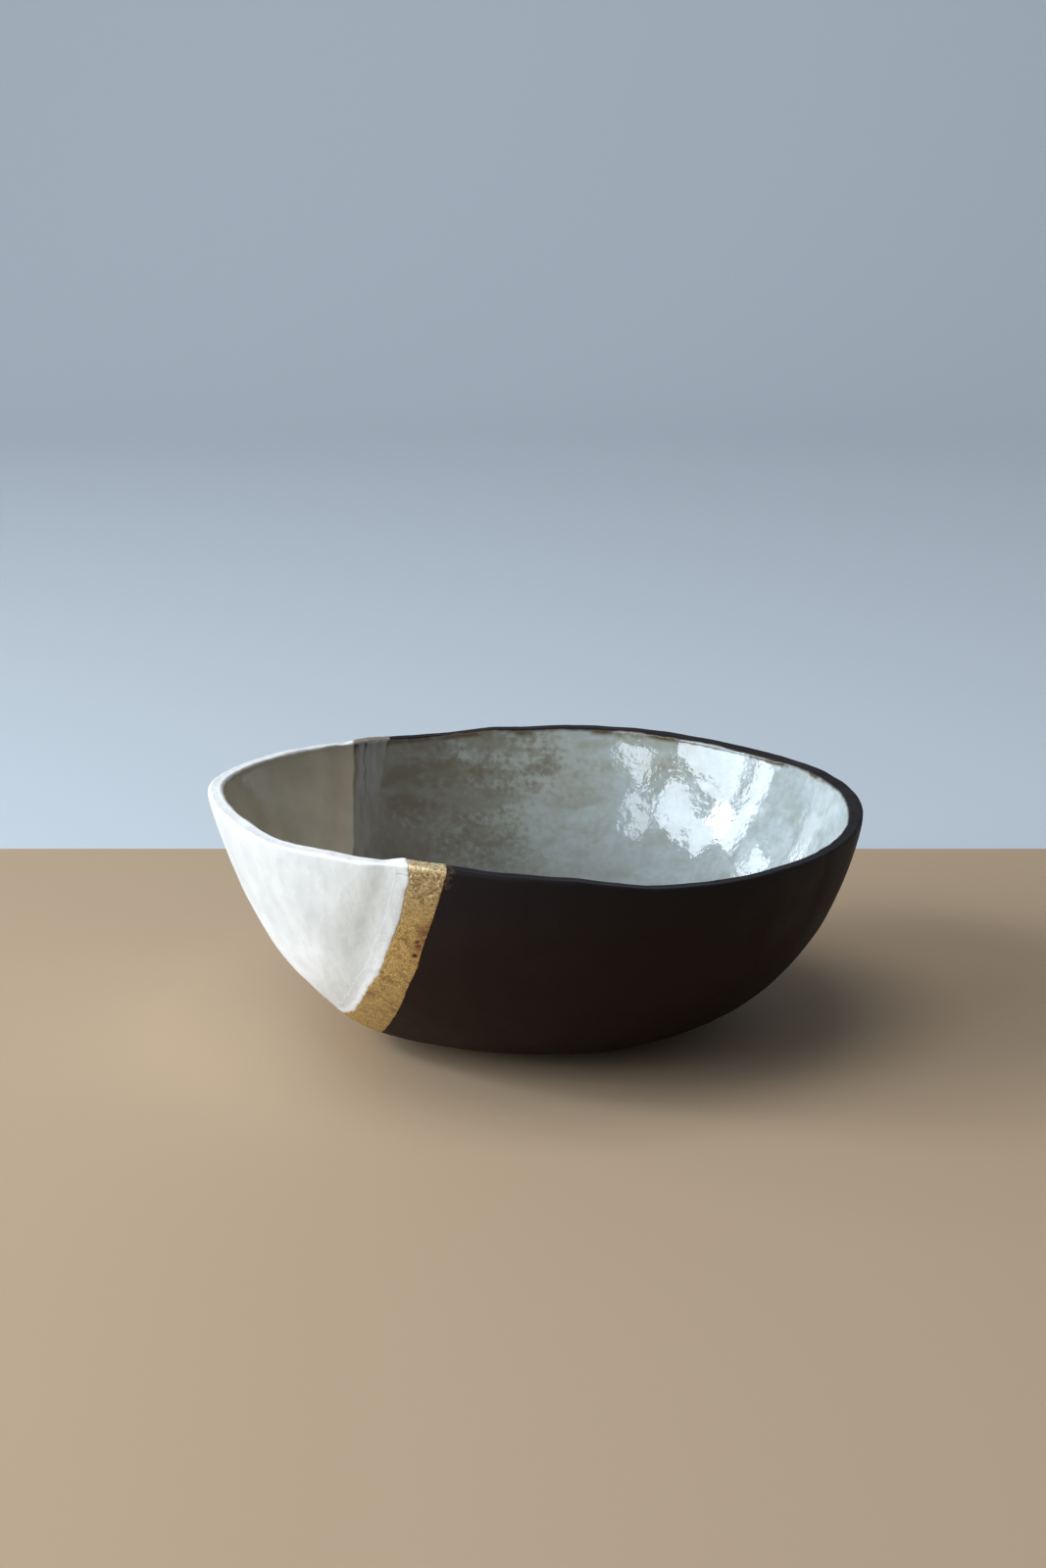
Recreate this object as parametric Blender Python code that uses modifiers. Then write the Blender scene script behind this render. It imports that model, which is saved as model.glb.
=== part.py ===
# A hand-built ceramic bowl: one fired piece of two clays, white and brown-black, that meet at a
# gold band on a slanting cut. The inside is glazed, the outside and the flat lip are bare clay.
#
# The frame: metres, +Z up, the foot on z = 0 and the origin at the bottom centre of the bowl's box.
# The gold band faces -Y and lies left of the middle, towards -X.
#
# The form starts as a turned wall and is then made uneven, as a bowl that was pinched by hand:
# its lip rises and falls, its outline is a little out of round, and its wall swells in places.
# All of this fades out towards the foot, which stays flat.

import math

import bmesh
import bpy
import numpy as np
from mathutils import Vector

# Driving sizes, in metres

RIM_DIAMETER = 0.250  # mean outside diameter at the lip
RIM_HEIGHT = 0.0871  # mean height of the lip above what the bowl stands on
FOOT_DIAMETER = 0.065  # the flat that it stands on
LIP_THICKNESS = 0.0055
FLOOR_THICKNESS = 0.007
LIP_EDGE_RADIUS = 0.0010  # the rounding of the lip's two edges

# The wall's curve: how squarely it turns from floor to wall, and how early it stands upright

WALL_SQUARENESS = 3.33
WALL_UPRIGHTNESS = 1.29

# Waves that the hands left, as (waves round the rim, height of a crest in metres, a crest's place
# in degrees from +X towards +Y)

LIP_HEIGHT_WAVES = (
    (1, 0.0048, 201),
    (2, 0.0023, 50),
    (3, 0.0006, 43),
    (4, 0.0009, 82),
    (5, 0.0003, 43),
    (6, 0.0006, 17),
)
OUTLINE_WAVES = (
    (2, 0.0027, 81),
    (3, 0.0016, 28),
    (4, 0.0006, 22),
)
LIP_THICKNESS_WAVES = ((2, 0.0008, 62),)

# Swells of the wall, as (half waves from foot to lip, waves round the rim, height, a crest's place)

WALL_SWELLS = (
    (1, 1, 0.0007, 0),
    (2, 0, 0.0007, 0),
    (2, 1, 0.0004, 131),
)

# One fuller place low on the wall, beside the band

BULGE = 0.0038
BULGE_ANGLE = -144  # degrees
BULGE_SPREAD = 17  # degrees to where it has fallen to about a third
BULGE_LEVEL = 0.0078  # metres above the foot
BULGE_RISE = 0.0105  # metres up or down the wall to where it has fallen to about a third

# The slanting cut where the two clays meet, and the gold band along it

BAND_WIDTH = 0.0110
BAND_REACH = 0.0666  # from the foot's middle to the band's middle, square to the cut
BAND_LEAN = (1.0, 0.1, -0.2)  # square to the cut
GLAZE_MARGIN = 0.0018  # bare clay between the lip and the glaze

# How finely the form is divided

STEPS_ROUND = 84
WALL_POINTS = 17
ARC_POINTS = 3
FLOOR_RING_SHARE = 0.5  # one ring of points across the underside, as a share of the foot
WELD = 0.00005

# Colours, as linear red, green and blue

WHITE_CLAY = (0.76, 0.76, 0.74)
GOLD = (0.46, 0.30, 0.11)
BLACK_CLAY = (0.016, 0.012, 0.011)
GLAZE = (0.34, 0.35, 0.31)

RIM_RADIUS = RIM_DIAMETER / 2
FOOT_RADIUS = FOOT_DIAMETER / 2
ZONES = ("white_clay", "gold_band", "black_clay", "glaze")


def clear_scene():
    """Empties the scene."""
    for obj in list(bpy.data.objects):
        bpy.data.objects.remove(obj, do_unlink=True)


def new_collection(name):
    """A collection of this name, linked to the scene."""
    collection = bpy.data.collections.new(name)
    bpy.context.scene.collection.children.link(collection)
    return collection


def material(name, colour, roughness, metallic=0.0):
    """A Principled material."""
    made = bpy.data.materials.new(name)
    made.use_nodes = True
    shader = made.node_tree.nodes["Principled BSDF"]
    shader.inputs["Base Color"].default_value = (*colour, 1.0)
    shader.inputs["Roughness"].default_value = roughness
    shader.inputs["Metallic"].default_value = metallic
    made.diffuse_color = (*colour, 1.0)
    return made


def wall_curve(rim_radius, base_radius, low, high):
    """Points (radius, height) of one side of the wall, from its base at height low to the lip."""
    share = np.linspace(0.0, 1.0, 400) ** WALL_SQUARENESS
    base = (base_radius / rim_radius) ** WALL_SQUARENESS
    filled = base + (1.0 - base) * (1.0 - (1.0 - share) ** WALL_UPRIGHTNESS)
    radius = rim_radius * filled ** (1.0 / WALL_SQUARENESS)
    return np.column_stack((radius, low + (high - low) * share))


def evenly_spaced(curve, count):
    """This many points at even steps along a curve, its two ends among them."""
    steps = np.hypot(*np.diff(curve, axis=0).T)
    along = np.concatenate(([0.0], np.cumsum(steps)))
    wanted = np.linspace(0.0, along[-1], count)
    return np.column_stack([np.interp(wanted, along, column) for column in curve.T])


def lip_edge(centre_radius, centre_height, start, turn):
    """Points of a quarter circle round one edge of the lip, without its first and last."""
    angles = start + turn * np.linspace(0.0, math.pi / 2, ARC_POINTS + 2)[1:-1]
    return np.column_stack(
        (
            centre_radius + LIP_EDGE_RADIUS * np.cos(angles),
            centre_height + LIP_EDGE_RADIUS * np.sin(angles),
        )
    )


def profile():
    """The bowl's section as (radius, height) points, up the inside and down the outside, and how
    many of them are on the inner wall."""
    top = RIM_HEIGHT - LIP_EDGE_RADIUS
    inner_radius = RIM_RADIUS - LIP_THICKNESS
    inner = wall_curve(inner_radius, 0.0, FLOOR_THICKNESS, top)
    outer = wall_curve(RIM_RADIUS, FOOT_RADIUS, 0.0, top)
    inner_edge = inner_radius + LIP_EDGE_RADIUS
    outer_edge = RIM_RADIUS - LIP_EDGE_RADIUS
    points = np.vstack(
        (
            evenly_spaced(inner, WALL_POINTS),
            lip_edge(inner_edge, top, math.pi, -1),
            [(inner_edge, RIM_HEIGHT), (outer_edge, RIM_HEIGHT)],
            lip_edge(outer_edge, top, math.pi / 2, -1),
            evenly_spaced(outer, WALL_POINTS)[::-1],
            [(FOOT_RADIUS * FLOOR_RING_SHARE, 0.0), (0.0, 0.0)],
        )
    )
    return points, WALL_POINTS + ARC_POINTS + 1


def turned_bowl():
    """The even bowl: the section turned round +Z. The attribute inside is 1 on the inner wall."""
    points, inner_count = profile()
    mesh = bpy.data.meshes.new("bowl_section")
    vertices = [(radius, 0.0, height) for radius, height in points]
    edges = [(i, i + 1) for i in range(len(vertices) - 1)]
    mesh.from_pydata(vertices, edges, [])
    inside = mesh.attributes.new("inside", "FLOAT", "POINT")
    for i, value in enumerate(inside.data):
        value.value = float(i < inner_count)
    section = bpy.data.objects.new("bowl_section", mesh)
    bpy.context.scene.collection.objects.link(section)
    screw = section.modifiers.new("turn", "SCREW")
    screw.axis = "Z"
    screw.steps = STEPS_ROUND
    screw.render_steps = STEPS_ROUND
    screw.use_merge_vertices = True
    screw.merge_threshold = WELD
    graph = bpy.context.evaluated_depsgraph_get()
    turned = bpy.data.meshes.new_from_object(section.evaluated_get(graph))
    bpy.data.objects.remove(section, do_unlink=True)
    bpy.data.meshes.remove(mesh)
    return turned


def waves(angle, crests):
    """The sum of these waves at an angle in radians."""
    return sum(
        height * math.cos(count * (angle - math.radians(crest)))
        for count, height, crest in crests
    )


def swell(angle, share):
    """How far the wall stands out of its turned form, at this share of the rim's height."""
    out = sum(
        height
        * math.sin(half_waves * math.pi * share)
        * math.cos(count * (angle - math.radians(crest)))
        for half_waves, count, height, crest in WALL_SWELLS
    )
    turn = math.remainder(angle - math.radians(BULGE_ANGLE), math.tau)
    rise = share * RIM_HEIGHT - BULGE_LEVEL
    across = turn / math.radians(BULGE_SPREAD)
    return out + BULGE * math.exp(-(across**2) - (rise / BULGE_RISE) ** 2)


def uneven(point, inside):
    """Where the hands left a point of the turned bowl. The foot's middle and height stay."""
    radius = math.hypot(point.x, point.y)
    angle = math.atan2(point.y, point.x)
    share = point.z / RIM_HEIGHT
    fade = min(1.0, radius / FOOT_RADIUS)
    wider = radius * waves(angle, OUTLINE_WAVES) * share / RIM_RADIUS
    thinner = inside * share * waves(angle, LIP_THICKNESS_WAVES)
    moved = radius + wider + fade * (swell(angle, share) - thinner)
    height = point.z + fade * share * waves(angle, LIP_HEIGHT_WAVES)
    return Vector((moved * math.cos(angle), moved * math.sin(angle), height))


def make_uneven(mesh):
    """Moves every point of the turned bowl to its hand-built place."""
    inside = mesh.attributes["inside"].data
    for vertex in mesh.vertices:
        vertex.co = uneven(vertex.co, inside[vertex.index].value)


def cut_along_band(mesh):
    """Edges along both sides of the band, so that its colour has clean borders."""
    normal = Vector(BAND_LEAN).normalized()
    work = bmesh.new()
    work.from_mesh(mesh)
    for side in (-0.5, 0.5):
        bmesh.ops.bisect_plane(
            work,
            geom=work.verts[:] + work.edges[:] + work.faces[:],
            dist=WELD,
            plane_co=normal * (side * BAND_WIDTH - BAND_REACH),
            plane_no=normal,
        )
    work.to_mesh(mesh)
    work.free()


def paint(mesh):
    """Gives each face the material of its zone: the two clays, the band, or the glaze inside."""
    for name, colour, roughness, metallic in (
        ("white_clay", WHITE_CLAY, 0.85, 0.0),
        ("gold_band", GOLD, 0.45, 0.9),
        ("black_clay", BLACK_CLAY, 0.75, 0.0),
        ("glaze", GLAZE, 0.12, 0.0),
    ):
        mesh.materials.append(material(name, colour, roughness, metallic))
    normal = Vector(BAND_LEAN).normalized()
    middle = Vector((0.0, 0.0, RIM_HEIGHT - GLAZE_MARGIN))
    inside = mesh.attributes["inside"].data
    for face in mesh.polygons:
        past_band = face.center.dot(normal) + BAND_REACH
        glazed = all(inside[i].value > 0.5 for i in face.vertices)
        if glazed and face.normal.dot(middle - face.center) > 0.0:
            zone = "glaze"
        elif abs(past_band) < BAND_WIDTH / 2:
            zone = "gold_band"
        else:
            zone = "white_clay" if past_band < 0.0 else "black_clay"
        face.material_index = ZONES.index(zone)


def centre_on_box(mesh):
    """Moves the bowl so that the bottom centre of its box is the origin."""
    places = np.array([vertex.co for vertex in mesh.vertices])
    middle = (places.min(axis=0) + places.max(axis=0)) / 2
    offset = Vector((-middle[0], -middle[1], 0.0))
    for vertex in mesh.vertices:
        vertex.co += offset


def build():
    """The bowl."""
    clear_scene()
    collection = new_collection("ceramic_bowl")
    mesh = turned_bowl()
    mesh.name = "bowl"
    make_uneven(mesh)
    cut_along_band(mesh)
    paint(mesh)
    centre_on_box(mesh)
    mesh.shade_smooth()
    mesh.set_sharp_from_angle(angle=math.radians(40))
    bowl = bpy.data.objects.new("bowl", mesh)
    collection.objects.link(bowl)


build()
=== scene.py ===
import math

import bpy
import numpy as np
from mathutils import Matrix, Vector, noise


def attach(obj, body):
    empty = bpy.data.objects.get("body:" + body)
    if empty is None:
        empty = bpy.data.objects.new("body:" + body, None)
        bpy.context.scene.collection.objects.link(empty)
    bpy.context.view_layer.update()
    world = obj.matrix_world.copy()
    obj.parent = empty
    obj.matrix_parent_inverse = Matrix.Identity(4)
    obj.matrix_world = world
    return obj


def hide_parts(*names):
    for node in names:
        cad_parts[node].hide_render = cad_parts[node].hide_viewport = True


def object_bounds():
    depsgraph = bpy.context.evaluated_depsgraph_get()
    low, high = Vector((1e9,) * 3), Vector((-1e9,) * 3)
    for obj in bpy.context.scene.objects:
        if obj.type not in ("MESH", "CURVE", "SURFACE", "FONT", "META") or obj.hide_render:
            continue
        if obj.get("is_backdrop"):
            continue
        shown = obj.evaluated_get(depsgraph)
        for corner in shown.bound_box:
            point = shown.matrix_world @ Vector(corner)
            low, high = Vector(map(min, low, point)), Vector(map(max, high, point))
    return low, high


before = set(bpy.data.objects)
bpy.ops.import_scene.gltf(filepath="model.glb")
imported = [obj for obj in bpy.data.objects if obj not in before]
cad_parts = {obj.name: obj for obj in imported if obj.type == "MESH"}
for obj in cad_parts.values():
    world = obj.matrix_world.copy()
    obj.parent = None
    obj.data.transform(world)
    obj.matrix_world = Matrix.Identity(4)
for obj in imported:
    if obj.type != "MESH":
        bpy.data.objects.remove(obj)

# The looks of a hand-built bowl of white and brown-black clay, with a rough gold band where the
# clays meet and a glazed inside. Lengths are metres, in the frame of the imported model.
#
# Four meshes stand for the bowl's materials: the white clay, the brown-black clay, the gold and the
# glaze. All four follow one skin, worked out from the sizes below, and are brought to the packed
# model's box at the end.

cad_low, cad_high = (Vector(corner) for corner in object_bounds())

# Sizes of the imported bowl

RIM_DIAMETER = 0.250
RIM_HEIGHT = 0.0871
FOOT_DIAMETER = 0.065
LIP_THICKNESS = 0.0055
FLOOR_THICKNESS = 0.007
LIP_EDGE_RADIUS = 0.0010
WALL_SQUARENESS = 3.33
WALL_UPRIGHTNESS = 1.29

# Waves as (waves round the rim, height of a crest, a crest's place in degrees from +X to +Y), and
# swells of the wall with the half waves from foot to lip before them

LIP_HEIGHT_WAVES = (
    (1, 0.0048, 201),
    (2, 0.0023, 50),
    (3, 0.0006, 43),
    (4, 0.0009, 82),
    (5, 0.0003, 43),
    (6, 0.0006, 17),
)
OUTLINE_WAVES = ((2, 0.0027, 81), (3, 0.0016, 28), (4, 0.0006, 22))
LIP_THICKNESS_WAVES = ((2, 0.0008, 62),)
WALL_SWELLS = ((1, 1, 0.0007, 0), (2, 0, 0.0007, 0), (2, 1, 0.0004, 131))
BULGE = 0.0038
BULGE_ANGLE = -144
BULGE_SPREAD = 17
BULGE_LEVEL = 0.0078
BULGE_RISE = 0.0105

# The band along the slanting cut. Its edges are given from its middle line, against the height,
# on the near side (-Y) and on the far side

BAND_REACH = 0.0666
BAND_LEAN = (1.0, 0.1, -0.2)
NEAR_WHITE_EDGE = (
    (0.0108, -0.0104),
    (0.0155, -0.0081),
    (0.036, -0.0073),
    (0.043, -0.0056),
    (0.058, -0.0052),
    (0.071, -0.0041),
    (0.078, -0.0048),
    (0.083, -0.0053),
    (0.086, -0.0044),
    (0.0925, -0.0065),
)
NEAR_BLACK_EDGE = (
    (0.018, 0.0043),
    (0.037, 0.0050),
    (0.043, 0.0048),
    (0.052, 0.0058),
    (0.059, 0.0054),
    (0.080, 0.0061),
    (0.092, 0.0063),
)
FAR_WHITE_EDGE = ((0.020, -0.0075), (0.047, -0.0060), (0.083, -0.0114))
FAR_BLACK_EDGE = ((0.018, 0.0044), (0.047, 0.0035), (0.083, 0.0034))
EDGE_ROUNDING = 0.0022
ROUNDING_STEPS = 7
NEAR_TO_FAR = (-0.03, 0.03)  # along Y, where the near side's edges turn into the far side's

# Small rises and dents of the lip, as (angle in degrees, height), and how far round one reaches

LIP_BUMPS = (
    (-142, -0.00030),
    (-127, 0.00045),
    (-119, -0.00025),
    (-112, 0.00045),
    (-97, -0.00050),
    (-83, 0.00060),
    (-70, -0.00050),
    (98, 0.00050),
    (93, -0.00030),
)
LIP_BUMP_SPREAD = 4.5
LIP_BUMP_LEVELS = (0.80, 1.0)  # where they come in, as shares of the rim's height

# Marks in the gold on the near side, as (height on the bowl, share of the way from the white to the
# black edge, radius, depth, how rusty)

GOLD_MARKS = (
    (0.0568, 0.84, 0.0006, 0.00045, 2.0),
    (0.0672, 0.92, 0.0016, 0.00008, 0.9),
    (0.0640, 0.95, 0.0014, 0.00010, 0.9),
    (0.0628, 0.78, 0.0008, 0.00018, 1.2),
    (0.0612, 0.86, 0.0009, 0.00020, 1.2),
    (0.0598, 0.93, 0.0010, 0.00012, 0.9),
    (0.0700, 0.98, 0.0016, 0.00005, 0.8),
    (0.0828, 0.66, 0.0006, 0.00026, 0.5),
    (0.0836, 0.74, 0.0006, 0.00030, 0.5),
    (0.0845, 0.82, 0.0007, 0.00030, 0.5),
    (0.0852, 0.90, 0.0007, 0.00022, 0.4),
    (0.0790, 0.88, 0.0005, 0.00024, 0.4),
    (0.0865, 0.30, 0.0008, 0.00018, 0.2),
    (0.0440, 0.20, 0.0007, 0.00016, 0.3),
    (0.0350, 0.10, 0.0014, 0.00008, 0.5),
)

# Noise is given in layers, as (height, size of its lumps, a factor for each axis, seed). A factor
# under 1 draws the lumps out along its axis. A pair of values is where something starts to come in
# and where it is whole

EVEN = (1.0, 1.0, 1.0)
TALL = (1.0, 1.0, 0.45)
TALLER = (1.0, 1.0, 0.3)
FLAT = (1.0, 1.0, 1.6)
LEVEL = (0.4, 0.4, 1.0)

# The clay

PRESSED = ((0.00036, 0.024, TALL, 1), (0.00020, 0.010, TALL, 2))
STROKES = ((0.00018, 0.0055, TALLER, 3),)
CLAY_GRAIN = ((0.00005, 0.0026, EVEN, 4),)
WHITE_SIDE = (0.0, -0.006)  # for the strokes, past the band's middle line
FOOT_LEVELS = (0.001, 0.008)  # for all relief
HOLLOW_DEPTH = 0.00048  # of a hollow in the white clay along the band
HOLLOW_PLACE = -0.0142  # from the band's middle line
HOLLOW_REACH = 0.0034
HOLLOW_LEVELS = (0.035, 0.060)
INNER_RELIEF = 0.4  # how much of the outside's relief the inside has
INNER_FADE = 0.006  # below the lip, where it starts to grow to the outside's
INNER_CORNER = 0.00028  # how far the lip's inner edge is sharper than the turned section's
OUTER_CORNER = 0.00010
UNDER_BAND = 0.0006  # how far the clay lies back under the gold
UNDER_BAND_EDGE = (0.0006, 0.0022)  # for that, in from the gold's edge
HAIRLINE_LEVEL = 0.0892  # of a hairline in the white clay beside the gold
HAIRLINE_REACH = 0.0002

# The layers over the clay, and the white clay's smoothed ledge beside the gold

UNDER_CLAY = 0.0009  # how deep the layers' hidden undersides lie
UNDER_GLAZE = 0.0004  # how deep the gold and the ledge lie on the inner wall
LIP_START = (-0.0012, 0.0004)  # for both, from the inner wall's top
WHITE_WAVER = ((0.00034, 0.0034, EVEN, 11), (0.00022, 0.0012, EVEN, 12))
BLACK_WAVER = ((0.00016, 0.0040, EVEN, 13), (0.00010, 0.0012, EVEN, 14))
LEDGE_HEIGHT = 0.00036
LEDGE_EDGE = 0.0006  # the rounding from the gold up to the ledge's crest
LEDGE_WIDTH = 0.0046  # from the gold to where the ledge has come down to the wall
LEDGE_MESH = 0.0055  # from the gold to the end of the ledge's mesh
LEDGE_LIFT = 0.00002  # above the wall, past the ledge
LEDGE_END = 0.00012  # how deep the mesh ends in the wall
LEDGE_LEVELS = (0.035, 0.080)  # for its full size
LEDGE_LOW_WIDTH = 0.55  # below those, as a share
LEDGE_LOW_HEIGHT = 0.4
LEDGE_WIDTH_WAVER = ((0.3, 0.011, EVEN, 15),)
LEDGE_HEIGHT_WAVER = ((0.3, 0.005, EVEN, 16),)
GOLD_THICKNESS = 0.00022
GOLD_EDGE_SHARE = 0.45  # how much of that its edges have
GOLD_EDGE = (-0.0001, 0.0006)  # for its full thickness, in from its edges
GOLD_UNDER_LEDGE = 0.0008
GOLD_OVER_BLACK = 0.00006
GOLD_GRAIN = ((0.00006, 0.0010, EVEN, 21), (0.00005, 0.0005, EVEN, 22))
GOLD_WRINKLES = ((0.00008, 0.0026, FLAT, 23),)
WRINKLE_LEVELS = (0.06, 0.085)  # for their full depth
WRINKLE_LOW = 0.5  # their depth below those, and what is added above
WRINKLE_ADDED = 1.5
GOLD_TOP = (-0.0012, 0.0006)  # from the outer wall's top, inwards
GOLD_FAR = (0.0, 0.06)  # for the painted shade on the far lip, along Y
FAR_SHADE_REACH = 0.002  # how far the far lip's painted shade runs on below the lip
STAINS = ((1.0, 0.0035, EVEN, 24),)
STAIN_LEVELS = (0.25, 0.6)
STAIN_SHARE = 0.35
NEAR_SIDE = (-0.04, -0.05)  # for the marks, along Y
RUST_SPREAD = 1.5  # how much wider than its mark the rust is
CRACK_DEPTH = 0.00018  # of the gold's broken line along the lip's outer edge
CRACK_REACH = 0.0004
CRACK_PLACE = 0.9  # in from the outer wall's top, in radii of the lip's edge
CRACK_WAVER = ((0.4, 0.004, EVEN, 25),)
CRACK_GAPS = ((1.0, 0.003, EVEN, 26),)
CRACK_LEVELS = (-0.4, 0.1)
CRACK_SHARE = (0.35, 0.6)  # of the way from the white to the black edge
CRACK_RUST = 0.6
GLAZE_THICKNESS = 0.00030
GLAZE_ROUNDING = 0.0005
GLAZE_REACH = 0.0009  # how far the glaze runs onto the lip's inner edge
GLAZE_STOP = ((0.0005, 0.012, EVEN, 31), (0.0003, 0.0035, EVEN, 32))
GLAZE_RIPPLES = (
    (0.00006, 0.0085, EVEN, 33),
    (0.00004, 0.0038, EVEN, 34),
    (0.00003, 0.0050, LEVEL, 35),
)
DARK_SIDE = 0.185  # from the band to the far side of the bowl

# How finely the meshes are divided

CURVE_POINTS = 400
EDGE_POINTS = 14  # of one rounded edge of the lip
COLUMNS = 600
OUTER_RINGS = 132
LIP_RINGS = 16
INNER_RINGS = 22
FOOT_RINGS = 6
GLAZE_RINGS = 148
BAND_RINGS = 1250
LEDGE_COLUMNS = 19
LEDGE_CROWDING = 1.6  # how much closer its columns stand beside the gold
GOLD_COLUMNS = 44
GOLD_CROWDING = 0.3  # how much closer its columns stand at both edges
GLAZE_CROWDING = 1.15  # how much closer its rings stand at the lip
GLAZE_MIDDLE = 0.004  # its first ring, as a share of the way from the floor's middle
GLAZE_BACK = (1.0, 0.9, 0.7, 0.45, 0.2, GLAZE_MIDDLE)
MIDDLE_GAP = 0.0006  # from the middle of the floor or foot to the clay's first ring
LIP_MARGIN = 0.001  # how far the lip's close rings run down both walls
BAND_INSIDE = 0.003  # how far the gold and the ledge run down the inner wall
BAND_SPLIT = 0.045  # the height below which a line along the band runs under the bowl
BAND_FIELD = (-0.020, 0.012)  # from the first to the last line along the band
BAND_LINES = 33
FIELD_LIP_ROWS = 60
FIELD_WALL_ROWS = 240
FIELD_COLUMNS = 361
SKIN_STEP = 0.0001  # along the wall, to both sides, for the skin's direction
SKIN_TURN = 0.001  # and round it, in radians

# Colours as they look on a screen, from 0 to 255

WHITE_GREY = (206, 210, 213)
WHITE_PALE = (219, 223, 225)
WHITE_SCUFF = (192, 195, 198)
WHITE_LOW_LIGHT = (242, 246, 252)
WHITE_HOLLOW_SHADE = (188, 192, 188)
WHITE_TOP_LIGHT = (244, 244, 242)
HAIRLINE = (126, 116, 108)
BLACK_DEEP = (30, 19, 17)
BLACK_PALE = (36, 24, 21)
BLACK_UPPER_SHEEN = (27, 25, 29)
BLACK_GRIT = (42, 32, 28)
BLACK_SMEAR = (84, 66, 50)
GOLD_DEEP = (176, 147, 91)
GOLD_BRIGHT = (227, 199, 137)
GOLD_FLECK = (250, 232, 184)
GOLD_DULL = (140, 112, 68)
GOLD_WORN = (190, 176, 142)
GOLD_ON_TOP_WORN_AND_LIT = (214, 190, 142)
GOLD_DOT = (98, 78, 50)
GOLD_PALE = (240, 222, 184)
GOLD_RUST = (116, 64, 36)
GOLD_PIT = (40, 30, 24)
GOLD_FAR_SHADE = (128, 116, 104)
CLEAR_DEEP = (166, 153, 128)
CLEAR_PALE = (194, 180, 154)
STREAK_DEEP = (120, 110, 94)
STREAK_PALE = (136, 128, 113)
STREAK_GREY = (134, 136, 132)
STREAK_BROWN = (92, 76, 58)
STREAK_BLOT = (56, 42, 32)
# Glaze over the black clay, from beside the band to the far right: partly its own mottling, partly
# painted shade at the dark end and painted window light with a bluish reflection at the light end
DARK_GLAZE = (
    (0.0, (102, 93, 75)),
    (0.20, (119, 116, 103)),
    (0.37, (147, 151, 143)),
    (0.70, (158, 168, 170)),
    (1.0, (173, 185, 191)),
)
GLAZE_PALE = (198, 208, 214)
GLAZE_OLIVE = (128, 130, 114)
GLAZE_DEEP_SHADE = (104, 112, 116)
GLAZE_BROWN = (104, 92, 71)
GLAZE_RUST = (84, 68, 46)
GLAZE_END = (78, 64, 42)
GLAZE_SPECK = (80, 64, 48)
FLOOR = (176, 154, 129)
PAPER = (194, 203, 212)
ROOM = (190, 197, 206)

# The camera, the stage and the lights. A light's colour is linear red, green and blue

LENS = 85.0
SENSOR_WIDTH = 36.0
CAMERA_DOWN = math.radians(13.88)
CAMERA_DISTANCE = 1.3896
CAMERA_TARGET = (-0.0052, 0.0065, 0.0906)
VIEW_END = 30.0
STAGE_WIDTH = 4.0
FLOOR_END = 0.2528
PAPER_TURN = 1.5
PAPER_BEND = 1.0
WINDOW_X = -1.5
WINDOW_POWER = 23.5  # for each square metre
WINDOW_COLOUR = (0.89, 0.96, 1.0)
ROOM_STRENGTH = 0.45
LAMP_COLOUR = (1.0, 1.0, 1.0)

# The window's panes as (place along Y, level, width, height, brightness)

PANES = (
    (-0.59, 0.50, 1.06, 0.80, 1.0),
    (-0.59, 1.27, 1.06, 0.46, 1.0),
    (0.18, 0.64, 0.26, 0.90, 1.0),
    (-0.08, 0.97, 0.35, 0.25, 3.8),
    (-1.83, 1.20, 0.72, 0.50, 0.9),
    (-1.46, 1.84, 0.66, 0.50, 0.65),
    (0.83, 0.95, 0.44, 0.34, 0.8),
)

# The other lights as (name, centre, direction, width, height, power, colour)

LAMPS = (
    ("ceiling", (-0.4, -0.2, 2.4), (0.0, 0.0, -1.0), 1.6, 1.6, 19.0, LAMP_COLOUR),
    ("paper_light", (-0.8, 1.2, 2.2), (0.0, 1.2, -0.8), 2.4, 0.5, 4.5, LAMP_COLOUR),
    ("front_light", (-1.3, -1.3, 0.3), (1.3, 1.3, -0.25), 0.9, 0.5, 1.7, (0.94, 0.98, 1.0)),
)

# The inputs and the output of a colour mix node

MIX_A, MIX_B, MIX_RESULT = 6, 7, 2

SEED_STEP = 17.3
RIM_RADIUS = RIM_DIAMETER / 2
FOOT_RADIUS = FOOT_DIAMETER / 2
BAND_NORMAL = np.array(Vector(BAND_LEAN).normalized())


def ramp(value, start, end):
    """0 before start and 1 past end, with a soft turn at both."""
    share = np.clip((value - start) / (end - start), 0.0, 1.0)
    return share * share * (3.0 - 2.0 * share)


def lumps(places, size, seed):
    """Smooth noise from about -1 to 1 with lumps of this size, one value for each place."""
    scaled = places.reshape(-1, 3) / size + seed * SEED_STEP
    values = [noise.noise(Vector(place)) for place in scaled]
    return np.array(values).reshape(places.shape[:-1])


def layered(places, layers):
    """The sum of these layers of noise, one value for each place."""
    return sum(
        height * lumps(places * np.array(factors), size, seed)
        for height, size, factors, seed in layers
    )


def hill(distance, reach):
    """1 at no distance, falling to about a third at this reach."""
    return np.exp(-((distance / reach) ** 2))


def wall_curve(rim_radius, base_radius, low, high):
    """Points (radius, height) of one side of the wall, from its base at height low to the lip."""
    share = np.linspace(0.0, 1.0, CURVE_POINTS) ** WALL_SQUARENESS
    base = (base_radius / rim_radius) ** WALL_SQUARENESS
    filled = base + (1.0 - base) * (1.0 - (1.0 - share) ** WALL_UPRIGHTNESS)
    radius = rim_radius * filled ** (1.0 / WALL_SQUARENESS)
    return np.column_stack((radius, low + (high - low) * share))


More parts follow.
